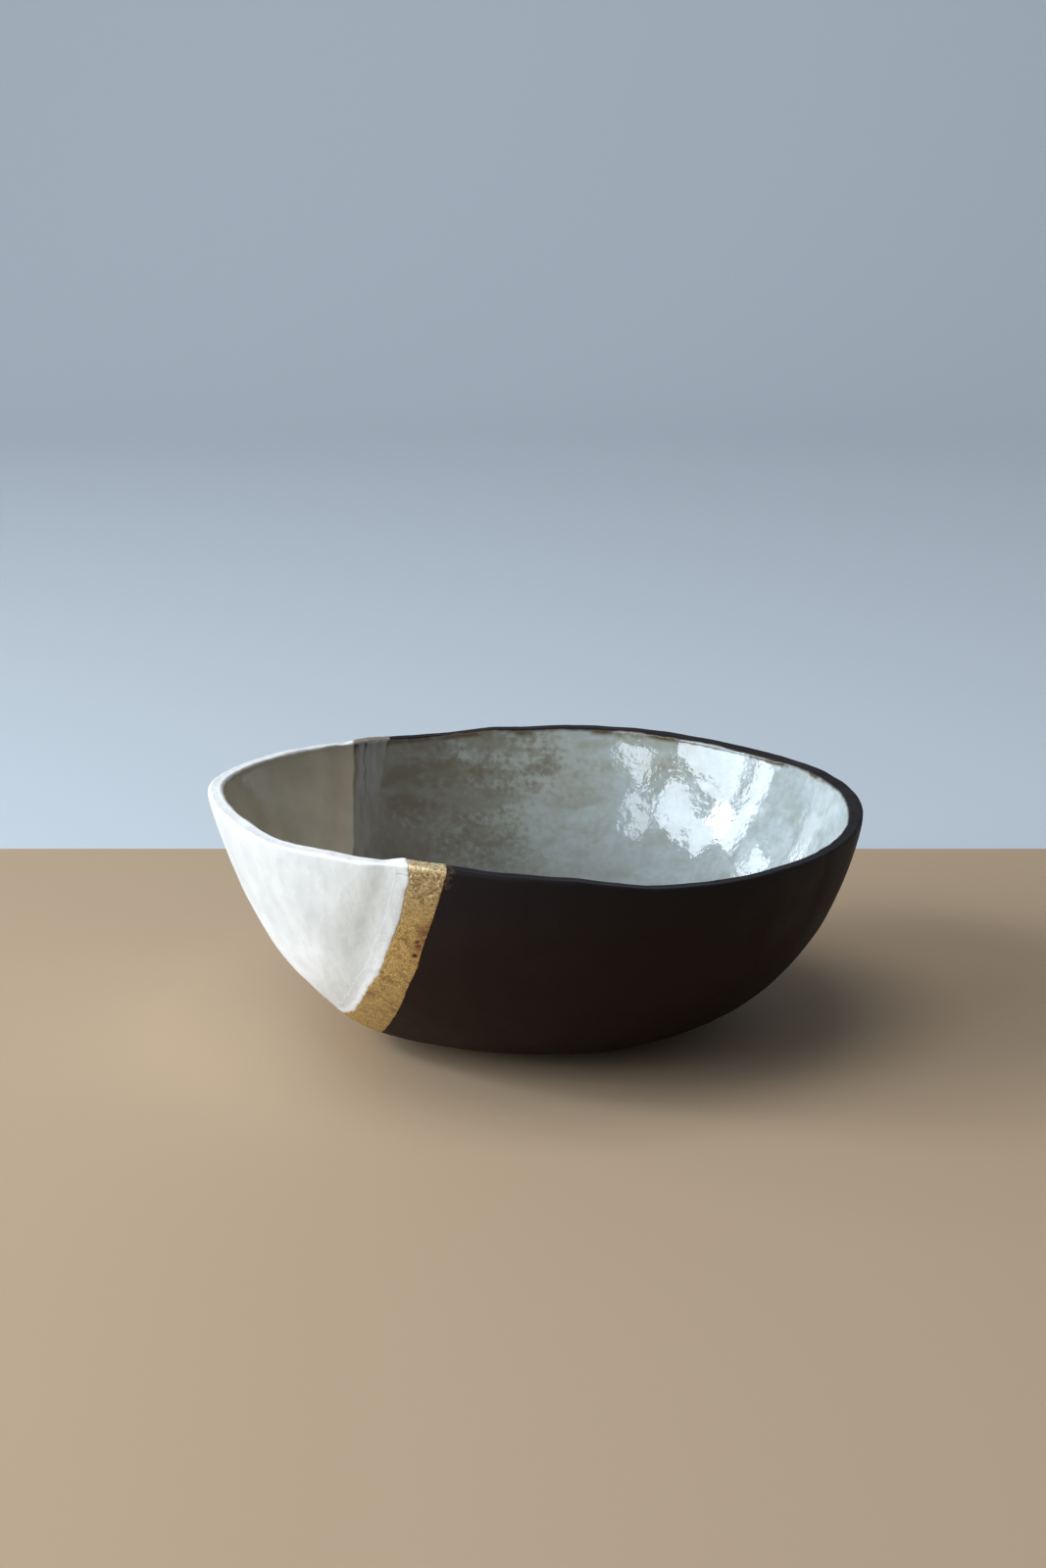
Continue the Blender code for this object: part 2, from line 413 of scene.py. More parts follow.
def lip_edge(centre_radius, centre_height, start):
    """Points of a quarter circle over one edge of the lip, turning outwards."""
    angles = start - np.linspace(0.0, math.pi / 2, EDGE_POINTS)[1:-1]
    return np.column_stack(
        (
            centre_radius + LIP_EDGE_RADIUS * np.cos(angles),
            centre_height + LIP_EDGE_RADIUS * np.sin(angles),
        )
    )


class Section:
    """The turned bowl's section, from the middle of its floor up the inside, over the lip and
    down the outside to the middle of its foot. A place on it is its length from the start."""

    def __init__(self):
        top = RIM_HEIGHT - LIP_EDGE_RADIUS
        inner_radius = RIM_RADIUS - LIP_THICKNESS
        inner = wall_curve(inner_radius, 0.0, FLOOR_THICKNESS, top)
        outer = wall_curve(RIM_RADIUS, FOOT_RADIUS, 0.0, top)[::-1]
        inner_edge = inner_radius + LIP_EDGE_RADIUS
        outer_edge = RIM_RADIUS - LIP_EDGE_RADIUS
        lip = np.vstack(
            (
                lip_edge(inner_edge, top, math.pi),
                [(inner_edge, RIM_HEIGHT), (outer_edge, RIM_HEIGHT)],
                lip_edge(outer_edge, top, math.pi / 2),
            )
        )
        points = np.vstack((inner, lip, outer, [(0.0, 0.0)]))
        steps = np.hypot(*np.diff(points, axis=0).T)
        self.length = np.concatenate(([0.0], np.cumsum(steps)))
        self.radius, self.height = points.T
        self.inside = (np.arange(len(points)) < len(inner) + len(lip) / 2).astype(float)
        self.lip_in = self.length[len(inner) - 1]
        self.lip_out = self.length[len(inner) + len(lip)]
        self.foot = self.length[-2]
        self.end = self.length[-1]

    def at(self, along):
        """Radius, height and side at places on the section."""
        columns = (self.radius, self.height, self.inside)
        return [np.interp(along, self.length, column) for column in columns]


section = Section()


def waves(angle, crests):
    """The sum of these waves at angles in radians."""
    return sum(
        height * np.cos(count * (angle - math.radians(crest)))
        for count, height, crest in crests
    )


def turn_from(angle, degrees):
    """How far angles in radians lie from one in degrees, the short way round."""
    return np.angle(np.exp(1j * (angle - math.radians(degrees))))


def swell(angle, share):
    """How far the wall stands out of its turned form, at this share of the rim's height."""
    out = sum(
        height
        * np.sin(half_waves * math.pi * share)
        * np.cos(count * (angle - math.radians(crest)))
        for half_waves, count, height, crest in WALL_SWELLS
    )
    across = hill(turn_from(angle, BULGE_ANGLE), math.radians(BULGE_SPREAD))
    return out + BULGE * across * hill(share * RIM_HEIGHT - BULGE_LEVEL, BULGE_RISE)


def lip_bumps(angle):
    """How far the lip's small rises and dents lift it at these angles."""
    spread = math.radians(LIP_BUMP_SPREAD)
    return sum(height * hill(turn_from(angle, degrees), spread) for degrees, height in LIP_BUMPS)


def place(along, angle):
    """Points of the bowl's hand-built skin, from lengths along the section and angles round."""
    radius, height, inside = section.at(along)
    share = height / RIM_HEIGHT
    fade = np.minimum(1.0, radius / FOOT_RADIUS)
    wider = radius * waves(angle, OUTLINE_WAVES) * share / RIM_RADIUS
    thinner = inside * share * waves(angle, LIP_THICKNESS_WAVES)
    moved = radius + wider + fade * (swell(angle, share) - thinner)
    raised = height + fade * share * waves(angle, LIP_HEIGHT_WAVES)
    raised = raised + lip_bumps(angle) * ramp(share, *LIP_BUMP_LEVELS)
    return np.stack((moved * np.cos(angle), moved * np.sin(angle), raised), axis=-1)


def skin(along, angle):
    """Points of the skin, and the directions that stand square on it there."""
    along, angle = np.broadcast_arrays(along, angle)
    inner = np.clip(along, 5 * SKIN_STEP, section.end - 5 * SKIN_STEP)
    forward = place(inner + SKIN_STEP, angle) - place(inner - SKIN_STEP, angle)
    sideways = place(inner, angle + SKIN_TURN) - place(inner, angle - SKIN_TURN)
    normal = np.cross(forward, sideways)
    normal /= np.linalg.norm(normal, axis=-1, keepdims=True)
    return place(along, angle), normal


def across_band(points):
    """How far points lie past the band's middle line, towards the black clay."""
    return points @ BAND_NORMAL + BAND_REACH


def offset_at(height, edge):
    """An edge's offset at this height, the corners between its given places rounded off."""
    shifts = np.linspace(-EDGE_ROUNDING, EDGE_ROUNDING, ROUNDING_STEPS)
    return sum(np.interp(height + shift, *zip(*edge)) for shift in shifts) / len(shifts)


def edge_of_band(points, near, far):
    """Where one edge of the band lies from its middle line, near these points."""
    near_offset = offset_at(points[..., 2], near)
    far_offset = offset_at(points[..., 2], far)
    return near_offset + (far_offset - near_offset) * ramp(points[..., 1], *NEAR_TO_FAR)


def band_edges(points):
    """Both edges of the band near these points: to the white clay, and to the black."""
    white = edge_of_band(points, NEAR_WHITE_EDGE, FAR_WHITE_EDGE)
    black = edge_of_band(points, NEAR_BLACK_EDGE, FAR_BLACK_EDGE)
    return white, black


def clay_relief(points):
    """How far the hands left the clay above or below the skin. The foot stays flat."""
    past = across_band(points)
    height = points[..., 2]
    hollow = HOLLOW_DEPTH * hill(past - HOLLOW_PLACE, HOLLOW_REACH) * ramp(height, *HOLLOW_LEVELS)
    on_white = (layered(points, STROKES) - hollow) * ramp(past, *WHITE_SIDE)
    relief = layered(points, PRESSED) + on_white + layered(points, CLAY_GRAIN)
    return relief * ramp(height, *FOOT_LEVELS)


def lip_corners(along):
    """How far the clay fills out the rounding of the lip's two edges."""
    quarter = LIP_EDGE_RADIUS * math.pi / 4
    inner = INNER_CORNER * hill(along - section.lip_in - quarter, quarter)
    return inner + OUTER_CORNER * hill(along - section.lip_out + quarter, quarter)


def surface(along, angle):
    """Points of the clay as the hands left it, and the directions square on the skin there. The
    inside is smoother than the outside."""
    points, normal = skin(along, angle)
    outside = ramp(along, section.lip_in - INNER_FADE, section.lip_in)
    rough = INNER_RELIEF + (1.0 - INNER_RELIEF) * outside
    relief = clay_relief(points) * rough + lip_corners(along)
    return points + normal * relief[..., None], normal


def under_band(points):
    """How far the clay lies back to make room for the gold."""
    white, black = band_edges(points)
    past = across_band(points)
    return UNDER_BAND * ramp(np.minimum(past - white, black - past), *UNDER_BAND_EDGE)


def ring_faces(count, columns):
    """The faces between rings of points, and a fan at each end round one more point."""
    ring = np.arange(count - 1)[:, None] * columns
    here = np.arange(columns)
    after = (here + 1) % columns
    sides = (ring + here, ring + columns + here, ring + columns + after, ring + after)
    quads = np.stack(sides, -1).reshape(-1, 4).tolist()
    first, last = count * columns, count * columns + 1
    end = (count - 1) * columns
    fans = [(first, a, b) for a, b in zip(here.tolist(), after.tolist())]
    fans += [(last, end + b, end + a) for a, b in zip(here.tolist(), after.tolist())]
    return quads + fans


def closed(rings):
    """Points and faces of a closed skin, from its rings of points."""
    return with_ends(rings), ring_faces(*rings.shape[:2])


def with_ends(rings):
    """The rings' points or values in one row, and the middle of the first and the last ring."""
    flat = rings.reshape(-1, *rings.shape[2:])
    return np.concatenate((flat, [rings[0].mean(axis=0), rings[-1].mean(axis=0)]))


def joined(first, second):
    """Points and faces of two parts as one."""
    start = len(first[0])
    faces = [tuple(start + i for i in face) for face in second[1]]
    return np.concatenate((first[0], second[0])), first[1] + faces


def chosen(points, faces, keep):
    """Only the faces to keep, with the points that they use."""
    kept = [face for face, wanted in zip(faces, keep) if wanted]
    used = sorted({i for face in kept for i in face})
    new = {old: i for i, old in enumerate(used)}
    return points[used], [tuple(new[i] for i in face) for face in kept]


def angles_round():
    """The columns' angles."""
    return np.linspace(0.0, math.tau, COLUMNS, endpoint=False)[None, :]


def on_top(lengths):
    """1 on the lip's flat top, 0 on both walls."""
    inner = ramp(lengths, section.lip_in, section.lip_in + LIP_EDGE_RADIUS)
    return inner * ramp(section.lip_out - lengths, 0.0, LIP_EDGE_RADIUS)


def clay_rings():
    """The clay's rings as lengths along the section, close together where it shows."""
    start, end = section.lip_in - LIP_MARGIN, section.lip_out + LIP_MARGIN
    return np.concatenate(
        (
            np.linspace(MIDDLE_GAP, start, INNER_RINGS, endpoint=False),
            np.linspace(start, end, LIP_RINGS, endpoint=False),
            np.linspace(end, section.foot, OUTER_RINGS, endpoint=False),
            np.linspace(section.foot, section.end - MIDDLE_GAP, FOOT_RINGS),
        )
    )[:, None]


def make_clay():
    """The white and the black clay, as points and faces. They part under the gold. A fourth number
    of each point is 1 on the lip's flat top."""
    points, normal = surface(clay_rings(), angles_round())
    top = np.broadcast_to(on_top(clay_rings()), points.shape[:2])
    rings = np.dstack((points - normal * under_band(points)[..., None], top))
    flat, faces = closed(rings)
    white = [across_band(flat[face[0], :3]) < 0.0 for face in faces]
    return chosen(flat, faces, white), chosen(flat, faces, np.logical_not(white))


def band_line(field, lengths, angles, offset):
    """The line on the skin at one offset across the band, as lengths and angles: from the inner
    wall over the near lip, under the bowl, and over the far lip to the inner wall."""
    near = angles >= math.pi
    far = ~near
    height = place(lengths, math.pi)[:, 2]
    split = np.flatnonzero((lengths > section.lip_out) & (height < BAND_SPLIT))[0]
    near_angles = [np.interp(offset, row[near], angles[near]) for row in field[: split + 1]]
    far_angles = [np.interp(-offset, -row[far], angles[far]) for row in field[: split + 1]]
    under = (angles < near_angles[-1]) & (angles > far_angles[-1])
    low_angles = angles[under][::-1]
    low_lengths = [np.interp(offset, column, lengths[split:]) for column in field[split:, under].T]
    upper = lengths[: split + 1]
    line_lengths = np.concatenate((upper, low_lengths[::-1], upper[::-1]))
    line_angles = np.concatenate((near_angles, low_angles, far_angles[::-1]))
    return line_lengths, line_angles


class BandLines:
    """Lines on the skin that run along the band, each at its own offset across it."""

    def __init__(self):
        start = section.lip_in - BAND_INSIDE
        bend = section.lip_out + LIP_MARGIN
        lip = np.linspace(start, bend, FIELD_LIP_ROWS, endpoint=False)
        lengths = np.concatenate((lip, np.linspace(bend, section.foot, FIELD_WALL_ROWS)))
        angles = np.linspace(math.pi / 2, 3 * math.pi / 2, FIELD_COLUMNS)
        field = across_band(place(lengths[:, None], angles[None, :]))
        self.offsets = np.linspace(*BAND_FIELD, BAND_LINES)
        lines = [self.even(*band_line(field, lengths, angles, offset)) for offset in self.offsets]
        self.lengths, self.angles = np.array(lines).transpose(1, 2, 0)

    def even(self, line_lengths, line_angles):
        """The line with its points at even steps."""
        points = place(line_lengths, line_angles)
        steps = np.linalg.norm(np.diff(points, axis=0), axis=1)
        travelled = np.concatenate(([0.0], np.cumsum(steps)))
        wanted = np.linspace(0.0, travelled[-1], BAND_RINGS)
        return [np.interp(wanted, travelled, line) for line in (line_lengths, line_angles)]

    def at(self, offsets):
        """Lengths and angles on the skin at offsets across the band, given for each ring."""
        return [
            np.array([np.interp(ring, self.offsets, row) for ring, row in zip(offsets, known)])
            for known in (self.lengths, self.angles)
        ]

    def middle(self):
        """The points of the band's middle line, ring by ring."""
        lengths, angles = self.at(np.zeros((BAND_RINGS, 1)))
        return place(lengths[:, 0], angles[:, 0])


def wavering_edges(lines):
    """Both edges of the gold for each ring, with the small wavering of a hand."""
    middle = lines.middle()
    white, black = band_edges(middle)
    white = white + layered(middle, WHITE_WAVER)
    black = black + layered(middle, BLACK_WAVER)
    return white[:, None], black[:, None]


def strip_rings(lengths, angles, height):
    """Rings of points of a layer that stands this high above the clay's own relief, closed by a
    back that lies in the clay."""
    points, normal = surface(lengths, angles)
    front = points + normal * height[..., None]
    back = points - normal * UNDER_CLAY
    ends = [-1, points.shape[1] // 2, 0]
    return np.concatenate((front, back[:, ends]), axis=1)


def under_glaze(height, lengths):
    """A layer's height, brought down under the glaze on the inner wall."""
    shown = ramp(lengths - section.lip_in, *LIP_START)
    return height * shown - UNDER_GLAZE * (1.0 - shown)


def make_ledge(lines, white):
    """The white clay's smoothed edge along the gold, as points and faces. A fourth number of each
    point is 1 on the lip's flat top."""
    back = LEDGE_MESH * np.linspace(1.0, 0.0, LEDGE_COLUMNS) ** LEDGE_CROWDING
    back = np.append(back, 0.0)
    lengths, angles = lines.at(white - back)
    points = place(lengths, angles)
    upper = ramp(points[..., 2], *LEDGE_LEVELS)
    width = LEDGE_WIDTH * (LEDGE_LOW_WIDTH + (1.0 - LEDGE_LOW_WIDTH) * upper)
    width = width * (1.0 + layered(points, LEDGE_WIDTH_WAVER))
    crest = LEDGE_HEIGHT * (LEDGE_LOW_HEIGHT + (1.0 - LEDGE_LOW_HEIGHT) * upper)
    crest = crest * (1.0 + layered(points, LEDGE_HEIGHT_WAVER))
    rounded = np.sqrt(1.0 - (1.0 - np.minimum(back / LEDGE_EDGE, 1.0)) ** 2)
    height = crest * rounded * (1.0 - ramp(back, LEDGE_EDGE, width)) + LEDGE_LIFT
    height = under_glaze(height, lengths)
    height[:, 0] = -LEDGE_END
    height[:, -1] = -UNDER_CLAY / 2
    rings = strip_rings(lengths, angles, height)
    top = np.concatenate((on_top(lengths), np.zeros((BAND_RINGS, 3))), axis=1)
    return closed(np.dstack((rings, top)))


def gold_marks(points, share, width):
    """The depth and the rust of the marks in the gold on the near side."""
    depth = np.zeros(points.shape[:2])
    rust = np.zeros(points.shape[:2])
    near = ramp(points[..., 1], *NEAR_SIDE)
    for level, across, radius, deep, rusty in GOLD_MARKS:
        distance = np.hypot(points[..., 2] - level, (share - across) * width)
        depth += deep * near * hill(distance, radius)
        rust = np.maximum(rust, rusty * near * hill(distance, radius * RUST_SPREAD))
    return depth, rust


def gold_columns():
    """The gold's columns as shares of the way from its white to its black edge."""
    even = np.linspace(0.0, 1.0, GOLD_COLUMNS)
    crowded = 0.5 - 0.5 * np.cos(math.pi * even)
    return GOLD_CROWDING * crowded + (1.0 - GOLD_CROWDING) * even


def gold_crack(points, lengths, share):
    """How far the gold is broken along the lip's outer edge: 1 in the middle of the line."""
    arris = section.lip_out - LIP_EDGE_RADIUS * (CRACK_PLACE + layered(points, CRACK_WAVER))
    broken = ramp(layered(points, CRACK_GAPS), *CRACK_LEVELS) * ramp(share, *CRACK_SHARE)
    return hill(lengths - arris, CRACK_REACH) * broken


def make_gold(lines, white, black):
    """The gold as points and faces, with how rusty each point is, whether it is on top of the near
    lip, and how much painted shade it has, which it has on the far lip."""
    share = gold_columns()
    width = black - white
    start, end = white - GOLD_UNDER_LEDGE, black + GOLD_OVER_BLACK
    offsets = np.concatenate((start, white + share * width, end), axis=1)
    share = np.concatenate(([0.0], share, [1.0]))
    lengths, angles = lines.at(offsets)
    points = place(lengths, angles)
    deeper = WRINKLE_LOW + WRINKLE_ADDED * ramp(points[..., 2], *WRINKLE_LEVELS)
    wrinkles = layered(points, GOLD_WRINKLES) * deeper
    depth, rust = gold_marks(points, share, width)
    crack = gold_crack(points, lengths, share)
    relief = layered(points, GOLD_GRAIN) + wrinkles - depth - CRACK_DEPTH * crack
    edge = ramp(np.minimum(share, 1.0 - share) * width, *GOLD_EDGE)
    height = GOLD_THICKNESS * (GOLD_EDGE_SHARE + (1.0 - GOLD_EDGE_SHARE) * edge) + relief * edge
    height = under_glaze(height, lengths)
    height[:, 0] = -UNDER_CLAY / 2
    height[:, -1] = -UNDER_CLAY / 2
    # painted shade: the gold on the far lip lies in shade, so it is painted darker and greyer
    above = ramp(section.lip_out + FAR_SHADE_REACH - lengths, 0.0, FAR_SHADE_REACH)
    far = ramp(points[..., 1], *GOLD_FAR) * above
    stain = ramp(layered(points, STAINS), *STAIN_LEVELS) * STAIN_SHARE
    top = ramp(section.lip_out - lengths, *GOLD_TOP) * (1.0 - far)
    rust = np.maximum.reduce((rust, stain, CRACK_RUST * crack)) * (1.0 - far)
    rings = strip_rings(lengths, angles, height)
    back = np.zeros((BAND_RINGS, 3))
    values = {
        name: with_ends(np.concatenate((front, back), axis=1))
        for name, front in (("rust", rust), ("top", top), ("faded", far))
    }
    return *closed(rings), values


def clay_part(points, faces):
    """One clay's points and faces, with how far past the band's middle each point lies, and
    whether it is on the lip's flat top."""
    places = points[:, :3]
    return places, faces, {"past": across_band(places), "top": points[:, 3]}


def make_glaze():
    """The glaze as points and faces, with how far each point lies below the glaze's top edge, how
    far across the band, and how far into the dark side."""
    angle = angles_round()
    rim = place(np.array([[section.lip_in]]), angle)
    top = section.lip_in + GLAZE_REACH + layered(rim, GLAZE_STOP)
    share = 1.0 - (1.0 - np.linspace(GLAZE_MIDDLE, 1.0, GLAZE_RINGS)) ** GLAZE_CROWDING
    front = share[:, None] * top
    back = np.array(GLAZE_BACK)[:, None] * top
    along = np.concatenate((front, back))
    points, normal = surface(along, angle)
    below = top - along
    edge = np.sqrt(1.0 - (1.0 - np.clip(below / GLAZE_ROUNDING, 0.0, 1.0)) ** 2)
    thickness = GLAZE_THICKNESS + layered(points, GLAZE_RIPPLES)
    height = (thickness + UNDER_CLAY / 2) * edge - UNDER_CLAY / 2
    height[GLAZE_RINGS:] = -UNDER_CLAY
    rings = points + normal * height[..., None]
    white, black = band_edges(points)
    past = across_band(points)
    values = {
        "below": with_ends(below),
        "across": with_ends((past - white) / (black - white)),
        "past": with_ends((past - black) / DARK_SIDE),
    }
    return *closed(rings), values


def srgb(red, green, blue):
    """A colour as it looks on a screen, from 0 to 255, as linear red, green, blue and alpha."""
    share = np.array((red, green, blue)) / 255
    linear = np.where(share <= 0.04045, share / 12.92, ((share + 0.055) / 1.055) ** 2.4)
    return (*[float(part) for part in linear], 1.0)


class Look:
    """A Principled material and the nodes that drive it. Sizes are metres on the bowl."""

    def __init__(self, name, roughness, metallic=0.0, specular=0.5):
        self.material = bpy.data.materials.new(name)
        self.material.use_nodes = True
        self.tree = self.material.node_tree
        self.shader = self.tree.nodes["Principled BSDF"]
        self.shader.inputs["Roughness"].default_value = roughness
        self.shader.inputs["Metallic"].default_value = metallic
        self.shader.inputs["Specular IOR Level"].default_value = specular
        self.places = self.node("TexCoord").outputs["Object"]

    def set(self, socket, value):
        """Gives one input of the shader a fixed value, or the output of a node."""
        self.feed(self.shader.inputs[socket], value)

    def feed(self, socket, value):
        """Sets an input to a value or links it to an output."""
        if isinstance(value, bpy.types.NodeSocket):
            self.tree.links.new(value, socket)
        else:
            socket.default_value = value

    def paint(self, socket, colour):
        """Sets a colour input to a colour from 0 to 255 or links it to an output."""
        self.feed(socket, srgb(*colour) if isinstance(colour, tuple) else colour)

    def node(self, kind, **inputs):
        """A new node of this kind, with these inputs set or linked."""
        node = self.tree.nodes.new("ShaderNode" + kind)
        for name, value in inputs.items():
            self.feed(node.inputs[name], value)
        return node

    def stretched(self, factors):
        """The places with each axis multiplied."""
        node = self.node("VectorMath")
        node.operation = "MULTIPLY"
        self.feed(node.inputs[0], self.places)
        node.inputs[1].default_value = factors
        return node.outputs[0]

    def noise(self, size, detail=3.0, factors=None, distortion=0.0):
        """Noise from 0 to 1 with lumps of this size."""
        node = self.node("TexNoise", Scale=1.0 / size, Detail=detail, Distortion=distortion)
        self.feed(node.inputs["Vector"], self.stretched(factors) if factors else self.places)
        return node.outputs["Fac"]

    def cells(self, size):
        """The distance from the middles of cells of this size."""
        return self.node("TexVoronoi", Scale=1.0 / size, Vector=self.places).outputs["Distance"]

    def level(self):
        """How high the place is on the bowl."""
        return self.node("SeparateXYZ", Vector=self.places).outputs["Z"]

    def value(self, name):
        """A value that the mesh keeps for each of its points."""
        node = self.node("Attribute")
        node.attribute_name = name
        return node.outputs["Fac"]

    def range(self, value, start, end, low=0.0, high=1.0):
        """Low where the value is at start, high where it is at end, with soft turns."""
        limits = {"From Min": start, "From Max": end, "To Min": low, "To Max": high}
        node = self.node("MapRange", Value=value, **limits)
        node.interpolation_type = "SMOOTHSTEP"
        return node.outputs["Result"]

    def math(self, operation, first, second):
        """One sum of two values."""
        node = self.node("Math")
        node.operation = operation
        self.feed(node.inputs[0], first)
        self.feed(node.inputs[1], second)
        return node.outputs[0]

    def product(self, *values):
        """All these values multiplied."""
        result = values[0]
        for value in values[1:]:
            result = self.math("MULTIPLY", result, value)
        return result

    def sum(self, *values):
        """All these values added."""
        result = values[0]
        for value in values[1:]:
            result = self.math("ADD", result, value)
        return result

    def mix(self, share, first, second):
        """The first colour where the share is 0, the second where it is 1."""
        node = self.node("Mix", Factor=share)
        node.data_type = "RGBA"
        self.paint(node.inputs[MIX_A], first)
        self.paint(node.inputs[MIX_B], second)
        return node.outputs[MIX_RESULT]

    def shades(self, value, stops):
        """Colours that follow a value, given as (value, colour from 0 to 255) from low to high."""
        node = self.node("ValToRGB", Fac=value)
        elements = node.color_ramp.elements
        for _ in stops[2:]:
            elements.new(0.5)
        for element, (position, colour) in zip(elements, stops):
            element.position = position
            element.color = srgb(*colour)
        return node.outputs["Color"]

    def bump(self, height, depth, strength=1.0, under=None):
        """A normal that is rough by this height, over another bump if there is one."""
        node = self.node("Bump", Strength=strength, Distance=depth, Height=height)
        if under is not None:
            self.feed(node.inputs["Normal"], under)
        return node.outputs["Normal"]


def white_clay():
    """Matt white clay, smoothed by hand, with faint grey scuffs, a fine tooth and a short hairline
    beside the gold. It is greyer in the hollow along the band as painted shade, and whiter low
    down and on the lip's top as painted light."""
    look = Look("white_clay", 0.82, specular=0.35)
    cloud = look.noise(0.016, 4.0, (1.0, 1.0, 0.65))
    tone = look.mix(look.range(cloud, 0.35, 0.68), WHITE_GREY, WHITE_PALE)
    scuffs = look.range(look.noise(0.0045, 4.0, (1.0, 1.0, 0.7)), 0.55, 0.72, 0.0, 0.2)
    tone = look.mix(scuffs, tone, WHITE_SCUFF)
    # painted light: the clay is whiter low down, where light from the floor falls on it
    tone = look.mix(look.range(look.level(), 0.068, 0.022, 0.0, 0.95), tone, WHITE_LOW_LIGHT)
    past = look.value("past")
    # painted shade: greyer in the hollow along the band
    hollow = look.product(look.range(past, -0.030, -0.016), look.range(past, -0.008, -0.013), 0.5)
    tone = look.mix(hollow, tone, WHITE_HOLLOW_SHADE)
    # painted light: whiter on the lip's flat top, where light falls from above
    tone = look.mix(look.product(look.value("top"), 0.5), tone, WHITE_TOP_LIGHT)
    wobble = look.range(look.noise(0.002, 2.0), 0.3, 0.7, -HAIRLINE_REACH, HAIRLINE_REACH)
    away = look.math("SUBTRACT", look.sum(look.level(), wobble), HAIRLINE_LEVEL)
    hairline = look.range(look.math("ABSOLUTE", away, 0.0), HAIRLINE_REACH, 0.0, 0.0, 0.8)
    hairline = look.product(hairline, look.range(past, -0.0110, -0.0085))
    look.set("Base Color", look.mix(hairline, tone, HAIRLINE))
    look.set("Roughness", look.range(cloud, 0.3, 0.7, 0.74, 0.88))
    tooth = look.bump(look.noise(0.0007, 3.0), 0.00010, 0.4)
    look.set("Normal", look.bump(look.noise(0.0045, 2.0, (1.0, 1.0, 0.7)), 0.00050, 0.6, tooth))
    return look.material


def black_clay():
    """Matt brown-black clay with a fine grain, faint wiped lines, and a smear of gold beside the
    band at the lip. It is bluer higher up, a painted sheen of the room's light."""
    look = Look("black_clay", 0.6, specular=0.14)
    cloud = look.noise(0.02, 4.0)
    tone = look.mix(look.range(cloud, 0.35, 0.65), BLACK_DEEP, BLACK_PALE)
    # painted sheen: bluer higher up, where the clay catches the room's light
    tone = look.mix(look.range(look.level(), 0.045, 0.085, 0.0, 0.8), tone, BLACK_UPPER_SHEEN)
    grit = look.range(look.noise(0.0007, 2.0), 0.60, 0.72, 0.0, 0.5)
    tone = look.mix(grit, tone, BLACK_GRIT)
    beside_band = look.product(look.range(look.value("past"), 0.0115, 0.0080), 0.7)
    at_lip = look.range(look.level(), 0.081, 0.087)
    smear = look.product(at_lip, look.noise(0.0013, 3.0), beside_band)
    smear = look.range(smear, 0.26, 0.44, 0.0, 0.7)
    look.set("Base Color", look.mix(smear, tone, BLACK_SMEAR))
    look.set("Roughness", look.range(cloud, 0.3, 0.7, 0.50, 0.64))
    tooth = look.bump(look.noise(0.0007, 3.0), 0.00006, 0.6)
    wiped = look.noise(0.003, 3.0, (0.25, 0.25, 1.0))
    look.set("Normal", look.bump(wiped, 0.00012, 0.5, tooth))
    return look.material


def gold():
    """Rough grainy gold: bright grains, dull ochre between them, rust in its marks, worn and
    speckled towards the lip, lighter and matt on the near lip's top, partly worn and partly
    painted light from above, and painted dull grey-brown on the far lip as painted shade."""
    look = Look("gold_band", 0.45, metallic=0.8)
    grains = look.noise(0.0007, 2.0)
    tone = look.mix(look.range(grains, 0.38, 0.62), GOLD_DEEP, GOLD_BRIGHT)
    flecks = look.range(look.noise(0.0005, 2.0), 0.58, 0.68)
    tone = look.mix(flecks, tone, GOLD_FLECK)
    dull = look.range(look.noise(0.0028, 4.0), 0.50, 0.70, 0.0, 0.5)
    tone = look.mix(dull, tone, GOLD_DULL)
    worn = look.range(look.level(), 0.066, 0.091, 0.0, 0.7)
    tone = look.mix(worn, tone, GOLD_WORN)
    top = look.value("top")
    # partly worn, matt gold and partly painted light from above: lighter on the near lip's top
    tone = look.mix(look.product(top, 0.6), tone, GOLD_ON_TOP_WORN_AND_LIT)
    dots = look.product(look.range(look.noise(0.0009, 2.0), 0.50, 0.62), worn)
    tone = look.mix(dots, tone, GOLD_DOT)
    pale = look.product(look.range(look.noise(0.0012, 2.0), 0.54, 0.64), worn)
    tone = look.mix(pale, tone, GOLD_PALE)
    rust = look.value("rust")
    tone = look.mix(rust, tone, GOLD_RUST)
    tone = look.mix(look.range(rust, 1.0, 1.6), tone, GOLD_PIT)
    # painted shade on the far lip's gold: dull grey-brown and not metallic
    faded = look.value("faded")
    look.set("Base Color", look.mix(faded, tone, GOLD_FAR_SHADE))
    matt = look.range(top, 0.0, 0.6, 1.0, 0.3)
    shine = look.product(look.range(rust, 0.2, 0.9, 0.8, 0.2), look.range(faded, 0.9, 0.1), matt)
    look.set("Metallic", shine)
    look.set("Roughness", look.range(grains, 0.35, 0.65, 0.58, 0.42))
    tooth = look.bump(look.noise(0.0006, 2.0), 0.00022, 0.9)
    look.set("Normal", look.bump(look.noise(0.0016, 3.0), 0.0003, 0.7, tooth))
    return look.material


def clear_glaze(look, below):
    """The colour of clear glaze over the white clay, a little darker near the lip."""
    cloud = look.range(look.noise(0.03, 4.0), 0.3, 0.7, -0.4, 0.4)
    deep = look.range(below, 0.005, 0.050, 0.1, 0.9)
    return look.mix(look.math("ADD", cloud, deep), CLEAR_DEEP, CLEAR_PALE)


